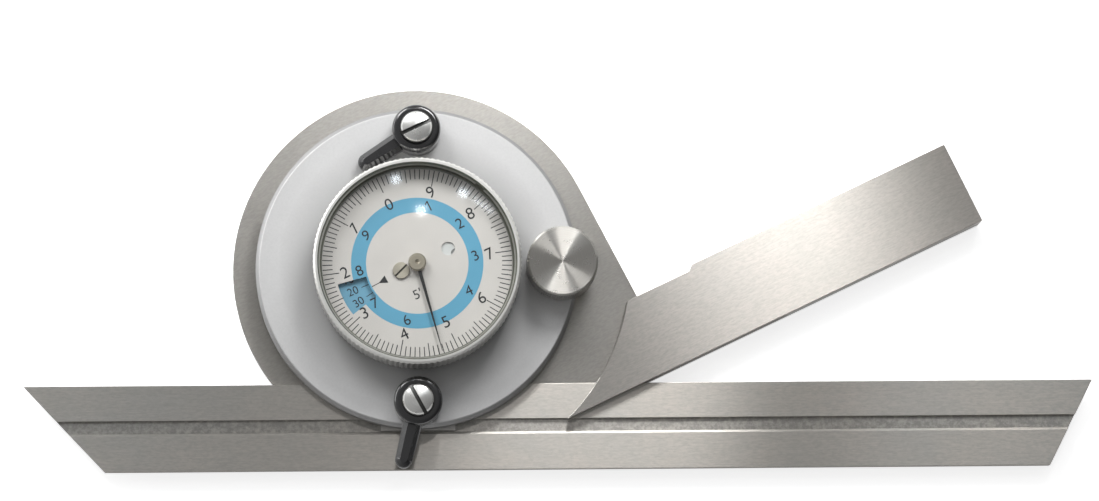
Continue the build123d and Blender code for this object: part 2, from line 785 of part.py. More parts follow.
def make_lever(prefix, y, direction, slot_turn, eccentric_turn, slide_low, slide_high):
    """A lever with its stud, bush and screw. The stud ends in an eccentric."""
    seat = lever_seat
    top = seat + lever_boss_height
    boss = disc(lever_boss_radius, seat, top)
    arm_low = seat + lever_arm_lift
    circles = Circle(lever_root_radius).edges() + (Pos(lever_reach, 0) * Circle(lever_end_radius)).edges()
    arm = Pos(0, 0, arm_low) * extrude(make_hull(circles), lever_arm_height)
    arm = chamfer(arm.edges().group_by(Axis.Z)[-1], arm_chamfer)
    boss = fillet(boss.edges().group_by(Axis.Z)[-1], lever_fillet)
    lever = boss + arm
    head_seat = top - lever_counterbore
    stud_top = seat + stud_height
    lever -= disc(lever_screw_head_radius + lever_screw_gap, head_seat, top + 1)
    lever -= disc(lever_screw_radius, seat, top + 1)
    lever -= disc(stud_radius, seat - 1, stud_top)
    keep(prefix + "_lever", Pos(0, y, 0) * Rot(0, 0, direction) * lever)
    offset_x, offset_y = polar(eccentricity, eccentric_turn)
    shoulder = slide_high + pocket_gap
    stud = disc(stud_radius, shoulder, stud_top, 0, y)
    stud += disc(eccentric_radius, slide_low, shoulder, offset_x, y + offset_y)
    stud -= disc(lever_screw_radius, stud_top - lever_screw_reach - tap_depth, stud_top + 1, 0, y)
    keep(prefix + "_stud", stud)
    screw = slotted_screw(0, y, head_seat, lever_screw_head_radius, lever_screw_head_height,
                          lever_screw_radius, head_seat - stud_top + lever_screw_reach, slot_turn)
    keep(prefix + "_screw", screw)


def make_clamps():
    """Turret lock and blade clamp: levers, bushes, shoe and jaw."""
    shoe_top = shoe_back() + shoe_height
    jaw_top = jaw_back() + jaw_height
    make_lever("lock", lever_distance, lock_direction, lock_slot_turn, lock_eccentric_turn,
               shoe_back(), shoe_top)
    make_lever("clamp", -lever_distance, clamp_direction, clamp_slot_turn, clamp_eccentric_turn,
               jaw_back(), jaw_top)
    bushes = []
    for y, slide_top in ((lever_distance, shoe_top), (-lever_distance, jaw_top)):
        bushes.append(ring(stud_radius + bush_wall, stud_radius + running_gap, slide_top + pocket_gap,
                           turret_face + web_play, 0, y))
    keep("lever_bushes", together(bushes))
    slot_half = eccentric_radius + eccentricity + eccentric_play
    shoe = block(-shoe_width / 2, shoe_width / 2, flange_radius - shoe_lap, lever_distance + shoe_outer,
                 shoe_back(), shoe_top)
    shoe -= disc(flange_radius + shoe_gap, shoe_back() - 1, shoe_top + 1)
    rest_y = lever_distance - eccentricity / 2
    half = eccentric_radius + running_gap
    shoe -= block(-slot_half, slot_half, rest_y - half, rest_y + half, shoe_back() - 1, shoe_top + 1)
    keep("lock_shoe", shoe)
    tongue_top = groove_top() - slide_gap
    tongue_low = groove_slope_foot() + eccentricity + tongue_play
    reach = jaw_width / 2
    jaw = block(-reach, reach, jaw_outer_y(), -lever_distance + jaw_inner, jaw_back(), jaw_top)
    jaw += block(-reach, reach, tongue_top - hook_thickness, tongue_top, blade_front - tongue_depth,
                 jaw_back())
    jaw += block(-tongue_length / 2, tongue_length / 2, tongue_low, tongue_top,
                 blade_front - tongue_depth, blade_front)
    rest_y = -lever_distance + eccentricity / 2
    jaw -= block(-slot_half, slot_half, rest_y - half, rest_y + half, jaw_back() - 1, jaw_top + 1)
    keep("clamp_jaw", jaw)


def make_blade():
    """The blade with its two slanted ends and the groove for the clamp jaw."""
    right = blade_length - blade_left
    blade = prism([
        (-blade_left, -inner_distance),
        (right, -inner_distance),
        (right - blade_right_cut, -edge_distance),
        (-blade_left + blade_left_cut, -edge_distance),
    ], blade_back, blade_front)
    floor = blade_front - groove_depth
    groove_low = groove_top() - groove_width
    groove = make_face(Polyline(
        (0, groove_top(), floor),
        (0, groove_slope_foot(), floor),
        (0, groove_slope_foot(), blade_front - groove_slope_height),
        (0, groove_low, blade_front),
        (0, groove_low, blade_front + 1),
        (0, groove_top(), blade_front + 1),
        close=True,
    ))
    blade -= extrude(groove, blade_length, dir=(1, 0, 0), both=True)
    keep("blade", blade)


make_stock()
make_hub()
make_adjust_ring()
make_adjuster()
make_turret()
make_case()
make_ring_gear()
make_base_plate()
make_bridge()
make_idler()
make_pointer()
make_dial()
make_bezel()
make_clamps()
make_blade()

os.makedirs("parts", exist_ok=True)
for name, shape in nodes.items():
    export_step(shape, os.path.join("parts", name + ".step"))
print(len(nodes), "nodes")
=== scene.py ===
import math

import bpy
from mathutils import Euler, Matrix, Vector


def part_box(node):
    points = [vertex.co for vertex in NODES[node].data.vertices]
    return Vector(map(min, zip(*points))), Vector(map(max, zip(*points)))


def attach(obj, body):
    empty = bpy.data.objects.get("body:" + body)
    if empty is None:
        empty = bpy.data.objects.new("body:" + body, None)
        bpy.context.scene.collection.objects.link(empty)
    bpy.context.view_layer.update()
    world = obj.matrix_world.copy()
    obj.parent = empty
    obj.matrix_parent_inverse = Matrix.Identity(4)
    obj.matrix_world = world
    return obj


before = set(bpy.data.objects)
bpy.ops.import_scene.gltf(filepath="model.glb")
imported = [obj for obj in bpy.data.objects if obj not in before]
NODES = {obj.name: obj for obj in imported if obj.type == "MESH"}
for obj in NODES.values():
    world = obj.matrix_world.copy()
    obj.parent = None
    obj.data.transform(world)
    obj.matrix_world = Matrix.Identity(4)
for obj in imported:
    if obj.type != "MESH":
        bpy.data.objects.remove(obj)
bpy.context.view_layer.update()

# Looks of a bevel protractor with a dial. Lengths are metres, and MM turns millimetres into them.
MM = 0.001

# Directions of the finish, in degrees from +X
STOCK_ANGLE = 25.2
BLADE_ANGLE = 0.0
PLATE_GRAIN_ANGLE = 128.0

# Where finishes change or are centred, in millimetres
PLATE_LEVEL = 5.0                # the stock is a thin plate below this, a thick arm above
BEZEL_BORE = (27.68, 27.74)      # shade is painted dark on the bezel within this radius
POINTER_BOSS = (2.5, 2.56)       # the pointer is bare metal inside this radius
KNOB_CENTRE = (40.4, 0.0)
FACE_SCREW_CENTRE = (-4.52, -2.13)
LEVER_SCREW_CENTRES = {"lock_screw": (0.0, 38.3), "clamp_screw": (0.0, -38.3)}
SCREW_CROWN = (4.5, 18.0)        # radius of the head, and its lean there in degrees
EDGE_WIDTHS = {"lock_lever": 0.35, "clamp_lever": 0.35, "stock": 0.12, "blade": 0.12,
               "turret_disc": 0.15, "lock_screw": 0.12, "clamp_screw": 0.12}

# Dial print: radii and sizes in millimetres, directions in degrees
FACE_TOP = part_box("dial_face")[1].z
TENS_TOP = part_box("tens_disc")[1].z
INK = 0.02 * MM
# Outline of a numeral one at size 1
ONE = [(0.18, 0.0), (0.27, 0.0), (0.27, 0.7), (0.2, 0.7), (0.0, 0.56), (0.0, 0.47), (0.18, 0.58)]
BLUE_RING = (14.25, 18.4)
TICK_COUNT = 120
NUMBER_STEP = 36                 # between two numerals of the dial
TICK_OUTER = 26.4
TICK_INNER = {"long": 21.9, "middle": 22.7, "short": 23.6}
TICK_WIDTH = 0.25
WINDOW = (14.7, 22.9)
WINDOW_DIRECTION = 181.6
WINDOW_HALF = 12.0
OUTER_NUMERAL_RADIUS = 20.3
SHARED_NUMERAL_RADIUS = 18.3
INNER_NUMERAL_RADIUS = 16.25
OUTER_NUMERAL_SIZE = 4.7
INNER_NUMERAL_SIZE = 4.2
TENS_SIZE = 3.2
TENS_RADIUS = 19.5
TENS_LINE = (14.5, 16.9)
TENS_START = 183.0
TENS_STEP = 10
TENS_LINE_WIDTH = 0.2
LEGEND_RADIUS = 8.6
LEGEND_DIRECTION = 245
LEGEND_SIZE = 3.8
INDEX_DIRECTION = 207.6
INDEX_LINE = (11.6, 14.3)
INDEX_LINE_WIDTH = 0.22
INDEX_TRIANGLE = (9.7, 12.1, 1.15)   # base, apex and half the width

# Radius of the sphere that the crystal's dome is part of
CRYSTAL_SPHERE = 138.9


def node(tree, kind, inputs=None, **settings):
    """Add a shader node. An input is a plain value or another node's output."""
    made = tree.nodes.new("ShaderNode" + kind)
    for name, value in settings.items():
        setattr(made, name, value)
    for name, value in (inputs or {}).items():
        if isinstance(value, bpy.types.NodeSocket):
            tree.links.new(value, made.inputs[name])
        else:
            made.inputs[name].default_value = value
    return made


def rgba(colour):
    """A colour with full alpha."""
    return (*colour, 1.0)


def start_material(name):
    """A material with an empty tree, and its output node."""
    material = bpy.data.materials.new(name)
    material.use_nodes = True
    tree = material.node_tree
    tree.nodes.clear()
    return material, tree, tree.nodes.new("ShaderNodeOutputMaterial")


def position(tree):
    """The place on the piece, in metres in the row's frame at rest."""
    return node(tree, "TexCoord").outputs["Object"]


def height_of(tree):
    """The height of the place on the piece, in metres."""
    return node(tree, "SeparateXYZ", {0: position(tree)}).outputs["Z"]


def math_node(tree, operation, first, second=0.0, third=0.0):
    """One Math node."""
    made = node(tree, "Math", {0: first, 1: second, 2: third}, operation=operation)
    return made.outputs[0]


def spread(tree, value, low, high, new_low, new_high):
    """Map a value from one range to another, held at its ends."""
    made = node(tree, "MapRange", {"Value": value, "From Min": low, "From Max": high,
                                   "To Min": new_low, "To Max": new_high})
    return made.outputs["Result"]


def blend_colours(tree, share, first, second):
    """Mix two colours by a share."""
    made = node(tree, "Mix", data_type="RGBA")
    for index, value in ((0, share), (6, first), (7, second)):
        if isinstance(value, bpy.types.NodeSocket):
            tree.links.new(value, made.inputs[index])
        elif index:
            made.inputs[index].default_value = rgba(value)
        else:
            made.inputs[index].default_value = value
    return made.outputs[2]


def stretched_noise(tree, angle, along, across, detail=4.0, seed=0.0):
    """Noise drawn out along a direction in the XY plane.

    Along and across are feature sizes in millimetres.
    """
    turned = node(tree, "Mapping", {"Vector": position(tree), "Rotation": (0, 0, math.radians(-angle)),
                                    "Location": (seed, seed * 0.7, 0)})
    scaled = node(tree, "VectorMath", {0: turned.outputs[0],
                                       1: (1000 / along, 1000 / across, 1000 / across)}, operation="MULTIPLY")
    noise = node(tree, "TexNoise", {"Vector": scaled.outputs[0], "Scale": 1.0, "Detail": detail,
                                    "Roughness": 0.6})
    return noise.outputs[0]


def blotches(tree, size, detail=3.0, seed=0.0):
    """Soft noise with features of the given size in millimetres."""
    return stretched_noise(tree, 0.0, size, size, detail, seed)


def bump(tree, height, depth, base=None):
    """A bump normal whose full height is the given depth in millimetres."""
    made = node(tree, "Bump", {"Height": height, "Distance": depth * MM, "Strength": 1.0})
    if base is not None:
        tree.links.new(base, made.inputs["Normal"])
    return made.outputs[0]


def to_world(tree, vector):
    """Turn a direction with the piece it belongs to."""
    made = node(tree, "VectorTransform", {0: vector}, vector_type="VECTOR", convert_from="OBJECT",
                convert_to="WORLD")
    return made.outputs[0]


def fixed_direction(tree, angle):
    """A level direction that turns with the piece."""
    turn = math.radians(angle)
    made = node(tree, "CombineXYZ", {0: math.cos(turn), 1: math.sin(turn), 2: 0.0})
    return to_world(tree, made.outputs[0])


def scattered_direction(tree, angle, swing, grain):
    """A level direction that wavers over a fine grain, as on a lapped face."""
    waver = spread(tree, blotches(tree, grain, 1.0, 0.6), 0.35, 0.65, math.radians(angle - swing),
                   math.radians(angle + swing))
    made = node(tree, "CombineXYZ", {0: math_node(tree, "COSINE", waver), 1: math_node(tree, "SINE", waver)})
    return to_world(tree, made.outputs[0])


def from_axis(tree, centre):
    """The level vector from an upright axis to the place on the piece."""
    away = node(tree, "VectorMath", {0: position(tree), 1: (centre[0] * MM, centre[1] * MM, 0)},
                operation="SUBTRACT")
    flat = node(tree, "VectorMath", {0: away.outputs[0], 1: (1, 1, 0)}, operation="MULTIPLY")
    return flat.outputs[0]


def radius_from(tree, centre=(0, 0)):
    """Distance from an upright axis, in millimetres."""
    length = node(tree, "VectorMath", {0: from_axis(tree, centre)}, operation="LENGTH")
    return math_node(tree, "MULTIPLY", length.outputs["Value"], 1000.0)


def metal(tree, output, colour, roughness, normal=None, tangent=None, anisotropic=0.0, metallic=1.0,
          coat=0.0):
    """Close a tree with a metal shader."""
    shader = node(tree, "BsdfPrincipled", {"Base Color": colour, "Roughness": roughness, "Metallic": metallic,
                                           "Anisotropic": anisotropic, "Coat Weight": coat,
                                           "Coat Roughness": 0.1})
    if normal is not None:
        tree.links.new(normal, shader.inputs["Normal"])
    if tangent is not None:
        tree.links.new(tangent, shader.inputs["Tangent"])
    tree.links.new(shader.outputs[0], output.inputs[0])
    return shader


def brushed(name, colour, warm, angle, roughness, anisotropic, line=0.17, depth=0.0007, low_angle=None,
            groove_top=None):
    """Ground steel with lines along one direction, so that gloss spreads across them.

    Faces below 5 mm may have another direction, and a groove below the given level holds dirt.
    """
    material, tree, output = start_material(name)
    fine = stretched_noise(tree, angle, 5.0, line, 3.0)
    broad = stretched_noise(tree, angle, 30.0, 0.8, 2.0, 0.3)
    cloud = blotches(tree, 26.0, 3.0, 0.9)
    base = blend_colours(tree, spread(tree, cloud, 0.35, 0.65, 0.0, 1.0), colour, warm)
    dark = tuple(0.78 * value for value in colour)
    lines = math_node(tree, "MULTIPLY", spread(tree, fine, 0.35, 0.7, 0.0, 0.6),
                      spread(tree, broad, 0.3, 0.7, 0.6, 1.0))
    base = blend_colours(tree, lines, base, dark)
    grain = stretched_noise(tree, angle, 1.4, 0.45, 4.0, 0.6)
    base = blend_colours(tree, spread(tree, grain, 0.4, 0.7, 0.0, 0.7), base, dark)
    if groove_top is not None:
        deep = spread(tree, height_of(tree), groove_top - 0.9 * MM, groove_top - 0.6 * MM, 1.0, 0.0)
        patches = spread(tree, blotches(tree, 1.1, 5.0, 0.2), 0.35, 0.6, 0.2, 1.0)
        dirt = math_node(tree, "MULTIPLY", deep, patches)
        base = blend_colours(tree, dirt, base, tuple(0.6 * value for value in colour))
    rough = spread(tree, broad, 0.3, 0.7, roughness - 0.008, roughness + 0.008)
    across = fixed_direction(tree, angle + 90)
    if low_angle is not None:
        share = spread(tree, height_of(tree), PLATE_LEVEL * MM, (PLATE_LEVEL + 0.1) * MM, 0.0, 1.0)
        pale = tuple(0.88 * value for value in colour)
        deeper = tuple(0.76 * value for value in colour)
        low = blend_colours(tree, spread(tree, grain, 0.35, 0.65, 0.0, 1.0), pale, deeper)
        base = blend_colours(tree, share, low, base)
        mixed = node(tree, "Mix", {0: share, 4: scattered_direction(tree, low_angle + 90, 60.0, 0.25),
                                   5: across}, data_type="VECTOR")
        across = mixed.outputs[1]
    metal(tree, output, base, rough, bump(tree, fine, depth), across, anisotropic)
    return material


def crowned(tree, centre, radius, tilt):
    """The normal of a slightly crowned head: at the given radius it leans outwards by the tilt in degrees."""
    lean = math.tan(math.radians(tilt)) / (radius * MM)
    outwards = node(tree, "VectorMath", {0: from_axis(tree, centre), "Scale": lean}, operation="SCALE")
    face = node(tree, "NewGeometry").outputs["Normal"]
    total = node(tree, "VectorMath", {0: face, 1: to_world(tree, outwards.outputs[0])}, operation="ADD")
    return node(tree, "VectorMath", {0: total.outputs[0]}, operation="NORMALIZE").outputs[0]


def turned(name, colour, centre, roughness, anisotropic, pitch=0.25, depth=0.003, crown=None, slot_shade_top=None,
           metallic=1.0):
    """Lathe-turned metal: fine rings round an upright axis, and gloss that spreads outwards.

    Shade is painted into a screw's slot below the given level.
    """
    material, tree, output = start_material(name)
    radius = radius_from(tree, centre)
    wave = math_node(tree, "DIVIDE", radius, pitch)
    rings = node(tree, "TexNoise", {"W": wave, "Scale": 1.0, "Detail": 3.0}, noise_dimensions="1D").outputs[0]
    cloud = blotches(tree, 3.0, 4.0, 0.4)
    dark = tuple(0.8 * value for value in colour)
    base = blend_colours(tree, spread(tree, rings, 0.3, 0.7, 0.0, 0.6), colour, dark)
    if slot_shade_top is not None:
        # Painted shade: below this level the slot's colour is darkened to 0.12 of the colour.
        slot = spread(tree, height_of(tree), slot_shade_top - 0.1 * MM, slot_shade_top, 1.0, 0.0)
        base = blend_colours(tree, slot, base, tuple(0.12 * value for value in colour))
    rough = spread(tree, cloud, 0.3, 0.7, roughness - 0.02, roughness + 0.04)
    outwards = node(tree, "VectorMath", {0: from_axis(tree, centre)}, operation="NORMALIZE").outputs[0]
    shape = crowned(tree, centre, *crown) if crown else None
    metal(tree, output, base, rough, bump(tree, rings, depth, shape), to_world(tree, outwards), anisotropic,
          metallic)
    return material


def satin(name, colour, roughness, metallic=1.0, grain=0.25, depth=0.004, painted_shade_from=None, skin_low=None):
    """Fine even satin with faint smudges. Shade may be painted in, darker towards a radius, in millimetres.

    Below the level skin_low the metal is uncoated, and its colour is darkened as painted shade.
    """
    material, tree, output = start_material(name)
    speck = blotches(tree, grain, 2.0)
    smudge = blotches(tree, 14.0, 4.0, 0.5)
    dark = tuple(0.86 * value for value in colour)
    base = blend_colours(tree, spread(tree, smudge, 0.45, 0.75, 0.0, 0.5), colour, dark)
    base = blend_colours(tree, spread(tree, blotches(tree, 0.7, 4.0, 0.3), 0.4, 0.7, 0.0, 0.4), base, dark)
    if painted_shade_from is not None:
        # Painted shade from a raised part: darkest at the given radius, fading over 10 mm outwards.
        painted_radius_shade = spread(tree, radius_from(tree), painted_shade_from, painted_shade_from + 10.0, 1.0, 0.0)
        base = blend_colours(tree, painted_radius_shade, base, tuple(0.62 * value for value in colour))
    if skin_low is not None:
        # Below the top face the metal is uncoated and fully metallic, and its colour is darkened as painted
        # shade.
        bare_and_painted_shade = spread(tree, height_of(tree), skin_low - 0.1 * MM, skin_low, 1.0, 0.0)
        base = blend_colours(tree, bare_and_painted_shade, base, tuple(0.7 * value for value in colour))
        metallic = spread(tree, bare_and_painted_shade, 0.0, 1.0, metallic, 1.0)
    rough = spread(tree, smudge, 0.3, 0.7, roughness - 0.03, roughness + 0.05)
    metal(tree, output, base, rough, bump(tree, speck, depth), metallic=metallic)
    return material


def bezel_metal():
    """Satin chrome, with shade painted dark olive on the inner wall, which is also rougher."""
    material, tree, output = start_material("bezel_metal")
    radius = radius_from(tree)
    inner_wall_shade_and_finish = spread(tree, radius, *BEZEL_BORE, 1.0, 0.0)
    cloud = blotches(tree, 5.0, 3.0)
    rim = blend_colours(tree, spread(tree, cloud, 0.4, 0.7, 0.0, 1.0), (0.82, 0.81, 0.78), (0.74, 0.74, 0.71))
    # Painted shade: the inner wall is coloured dark olive, and its roughness is raised.
    base = blend_colours(tree, inner_wall_shade_and_finish, rim, (0.20, 0.20, 0.165))
    rough = spread(tree, inner_wall_shade_and_finish, 0.0, 1.0, 0.34, 0.45)
    metal(tree, output, base, rough, bump(tree, blotches(tree, 0.3, 2.0), 0.003))
    return material


def pointer_metal():
    """Black needle with a nickel-brass boss."""
    material, tree, output = start_material("pointer_metal")
    radius = radius_from(tree)
    needle = spread(tree, radius, *POINTER_BOSS, 0.0, 1.0)
    rings = node(tree, "TexNoise", {"W": math_node(tree, "DIVIDE", radius, 0.15), "Scale": 1.0},
                 noise_dimensions="1D").outputs[0]
    boss = blend_colours(tree, spread(tree, rings, 0.3, 0.7, 0.0, 1.0), (0.66, 0.59, 0.48),
                         (0.27, 0.23, 0.17))
    base = blend_colours(tree, needle, boss, (0.02, 0.02, 0.02))
    metallic = math_node(tree, "MULTIPLY_ADD", needle, -0.7, 0.7)
    shader = metal(tree, output, base, 0.3, bump(tree, rings, 0.006))
    tree.links.new(metallic, shader.inputs["Metallic"])
    return material


def enamel(name, colour, roughness):
    """Gloss enamel with a slight ripple and a few rubbed spots."""
    material, tree, output = start_material(name)
    ripple = blotches(tree, 3.0, 1.0)
    worn = blotches(tree, 4.0, 4.0, 0.8)
    base = blend_colours(tree, spread(tree, worn, 0.68, 0.8, 0.0, 0.5), colour,
                         tuple(0.015 + 1.5 * value for value in colour))
    rough = spread(tree, worn, 0.35, 0.75, roughness, roughness + 0.1)
    metal(tree, output, base, rough, bump(tree, ripple, 0.012), metallic=0.0, coat=1.0)
    return material


def ink(name, colour, roughness=0.6, grain=0.12):
    """Printed or painted colour with a fine uneven surface."""
    material, tree, output = start_material(name)
    speck = blotches(tree, grain, 3.0)
    cloud = blotches(tree, 9.0, 3.0, 0.2)
    pale = tuple(min(1.0, 1.06 * value + 0.004) for value in colour)
    base = blend_colours(tree, spread(tree, cloud, 0.3, 0.7, 0.0, 1.0), colour, pale)
    rough = spread(tree, speck, 0.3, 0.7, roughness - 0.05, roughness + 0.05)
    metal(tree, output, base, rough, bump(tree, speck, 0.002), metallic=0.0)
    return material


def crystal_material():
    """Clear domed crystal: see-through, with a reflection that grows towards its rim."""
    material, tree, output = start_material("crystal_clear")
    scratches = stretched_noise(tree, 35.0, 30.0, 0.4, 2.0)
    mirror = node(tree, "BsdfPrincipled", {"Base Color": (1, 1, 1, 1), "Metallic": 1.0,
                                           "Roughness": spread(tree, scratches, 0.5, 0.8, 0.075, 0.085)})
    clear = node(tree, "BsdfTransparent", {"Color": (0.97, 0.98, 0.98, 1)})
    middle = (0, 0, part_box("crystal")[1].z - CRYSTAL_SPHERE * MM)
    from_middle = node(tree, "VectorMath", {0: position(tree), 1: middle}, operation="SUBTRACT").outputs[0]
    domed = node(tree, "VectorMath", {0: to_world(tree, from_middle)}, operation="NORMALIZE").outputs[0]
    tree.links.new(domed, mirror.inputs["Normal"])
    outside = math_node(tree, "SUBTRACT", 1.0, node(tree, "NewGeometry").outputs["Backfacing"])
    reflected = node(tree, "Fresnel", {"IOR": 1.5, "Normal": domed}).outputs[0]
    share = math_node(tree, "MULTIPLY", reflected, outside)
    mixed = node(tree, "MixShader", {0: share, 1: clear.outputs[0], 2: mirror.outputs[0]})
    tree.links.new(mixed.outputs[0], output.inputs[0])
    return material


def dress_nodes():
    """Give every carried-over solid its finish."""
    blade_steel = brushed("blade_steel", (0.475, 0.46, 0.43), (0.53, 0.495, 0.45), BLADE_ANGLE, 0.29, 1.0,
                          groove_top=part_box("blade")[1].z)
    stock_steel = brushed("stock_steel", (0.475, 0.457, 0.425), (0.525, 0.49, 0.455), STOCK_ANGLE, 0.29, 1.0,
                          low_angle=PLATE_GRAIN_ANGLE)
    alloy = satin("turret_alloy", (0.54, 0.54, 0.54), 0.5, metallic=0.3, painted_shade_from=29.0,
                  skin_low=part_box("turret_disc")[1].z - 0.2 * MM)
    case = satin("case_alloy", (0.55, 0.55, 0.55), 0.4)
    brass = turned("gear_brass", (0.72, 0.56, 0.27), (0, 0), 0.32, 0.6)
    bronze = satin("bush_bronze", (0.62, 0.44, 0.24), 0.35)
    inner_steel = turned("inner_steel", (0.55, 0.55, 0.54), (0, 0), 0.3, 0.6)
    wire = satin("spring_wire", (0.46, 0.46, 0.42), 0.35)
    nickel = turned("face_screw_nickel", (0.62, 0.56, 0.46), FACE_SCREW_CENTRE, 0.35, 0.5, depth=0.005,
                    slot_shade_top=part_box("face_screw")[1].z - 0.15 * MM, metallic=0.7)
    black = enamel("lever_black", (0.006, 0.006, 0.007), 0.15)
    finishes = {
        "stock": stock_steel,
        "blade": blade_steel,
        "turret_disc": alloy,
        "dial_case": case,
        "adjust_knob": turned("knob_steel", (0.50, 0.485, 0.455), KNOB_CENTRE, 0.28, 1.0, depth=0.001),
        "bezel": bezel_metal(),
        "crystal": crystal_material(),
        "dial_face": ink("dial_cream", (0.655, 0.61, 0.575), 0.55),
        "tens_disc": ink("tens_blue", (0.15, 0.36, 0.50), 0.55),
        "pointer": pointer_metal(),
        "face_screw": nickel,
        "lock_lever": black,
        "clamp_lever": black,
        "clamp_jaw": brushed("jaw_steel", (0.52, 0.51, 0.49), (0.54, 0.52, 0.49), BLADE_ANGLE, 0.28, 0.9),
    }
    for name, place in LEVER_SCREW_CENTRES.items():
        finishes[name] = turned(name + "_steel", (0.74, 0.74, 0.72), place, 0.28, 0.5, pitch=0.3,
                                depth=0.0006, crown=SCREW_CROWN, slot_shade_top=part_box(name)[1].z - 0.3 * MM)
    finishes["bridge"] = satin("bridge_nickel", (0.76, 0.76, 0.74), 0.4, metallic=0.5)
    for name in ("adjust_ring", "base_plate", "movement_pillars", "drive_ring_gear", "idler_wheel"):
        finishes[name] = brass
    for name in ("base_bushes", "bridge_bushes", "adjust_bush", "lever_bushes"):
        finishes[name] = bronze
    for name in ("bezel_spring", "tens_snap_ring", "crystal_ring", "adjust_washer"):
        finishes[name] = wire
    for name, item in NODES.items():
        item.data.materials.clear()
        item.data.materials.append(finishes.get(name, inner_steel))


def soften_edges(name, width, segments=2):
    """Break a node's sharp edges."""
    item = NODES[name]
    weld = item.modifiers.new("weld", "WELD")
    weld.merge_threshold = 0.001 * MM
    bevel = item.modifiers.new("bevel", "BEVEL")
    bevel.width = width * MM
    bevel.segments = segments
    bevel.limit_method = "ANGLE"
    bevel.angle_limit = math.radians(35)
    bevel.harden_normals = False


def mesh_piece(name, vertices, faces, material, body):
    """A mesh piece from points in millimetres, riding on a body."""
    mesh = bpy.data.meshes.new(name)
    mesh.from_pydata([tuple(value * MM for value in point) for point in vertices], [], faces)
    mesh.materials.append(material)
    piece = bpy.data.objects.new(name, mesh)
    bpy.context.scene.collection.objects.link(piece)
    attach(piece, body)
    return piece


def on_circle(radius, degrees):
    """A point in the XY plane by radius and direction."""
    return (radius * math.cos(math.radians(degrees)), radius * math.sin(math.radians(degrees)))


def printed(name, outlines, level, material, body):
    """Flat print: each outline is a closed, convex run of points, raised by the ink's thickness."""
    vertices = []
    faces = []
    low = level / MM
    high = (level + INK) / MM
    for outline in outlines:
        start = len(vertices)
        count = len(outline)
        vertices += [(x, y, low) for x, y in outline] + [(x, y, high) for x, y in outline]
        faces.append(tuple(range(start + count - 1, start - 1, -1)))
        faces.append(tuple(range(start + count, start + 2 * count)))
        for index in range(count):
            following = (index + 1) % count
            faces.append((start + index, start + following, start + count + following, start + count + index))
    return mesh_piece(name, vertices, faces, material, body)


def bar_outline(inner, outer, degrees, width):
    """A thin radial bar."""
    x, y = on_circle(1.0, degrees)
    side_x, side_y = -y * width / 2, x * width / 2
    return [
        (inner * x - side_x, inner * y - side_y),
        (outer * x - side_x, outer * y - side_y),
        (outer * x + side_x, outer * y + side_y),
        (inner * x + side_x, inner * y + side_y),
    ]


def sector_outlines(inner, outer, first, last, step=2.0):
    """A ring's sector as a run of small four-sided outlines."""
    count = max(1, round((last - first) / step))
    outlines = []
    for index in range(count):
        low = first + (last - first) * index / count
        high = first + (last - first) * (index + 1) / count
        outlines.append([on_circle(inner, low), on_circle(outer, low), on_circle(outer, high),
                         on_circle(inner, high)])
    return outlines


def numeral_one(size):
    """A numeral one with a flag, as a curve."""
    curve = bpy.data.curves.new("one", "CURVE")
    curve.dimensions = "2D"
    curve.fill_mode = "BOTH"
    line = curve.splines.new("POLY")
    line.points.add(len(ONE) - 1)
    for point, (x, y) in zip(line.points, ONE):
        point.co = (x * size, y * size, 0.0, 1.0)
    line.use_cyclic_u = True
    return curve


def lettering(name, labels, level, material, body):
    """Labels as raised print. Each label is (text, x, y, size, turn), in millimetres and degrees."""
    vertices = []
    faces = []
    for text, x, y, size, turn in labels:
        if text == "1":
            curve = numeral_one(size)
        else:
            curve = bpy.data.curves.new("label", "FONT")
            curve.body = text
            curve.size = size
        curve.extrude = INK / MM / 2
        holder = bpy.data.objects.new("label", curve)
        bpy.context.scene.collection.objects.link(holder)
        bpy.context.view_layer.update()
        outline = bpy.data.meshes.new_from_object(holder.evaluated_get(bpy.context.evaluated_depsgraph_get()))
        cosine = math.cos(math.radians(turn))
        sine = math.sin(math.radians(turn))
        middle_x = (min(v.co.x for v in outline.vertices) + max(v.co.x for v in outline.vertices)) / 2
        middle_y = (min(v.co.y for v in outline.vertices) + max(v.co.y for v in outline.vertices)) / 2
        start = len(vertices)
        for vertex in outline.vertices:
            across = vertex.co.x - middle_x
            up = vertex.co.y - middle_y
            vertices.append((x + across * cosine - up * sine, y + across * sine + up * cosine,
                             (level + INK / 2) / MM + vertex.co.z))
        faces += [tuple(start + index for index in polygon.vertices) for polygon in outline.polygons]
        bpy.data.objects.remove(holder)
        bpy.data.curves.remove(curve)
    piece = mesh_piece(name, vertices, faces, material, body)
    weld = piece.modifiers.new("weld", "WELD")
    weld.merge_threshold = 0.0005 * MM
    return piece


def outer_label_place(number):
    """Where a black numeral of the outer scale stands. 0 and 5 sit on the ring's border."""
    radius = SHARED_NUMERAL_RADIUS if number % 5 == 0 else OUTER_NUMERAL_RADIUS
    return on_circle(radius, STOCK_ANGLE + 90 + NUMBER_STEP * number)


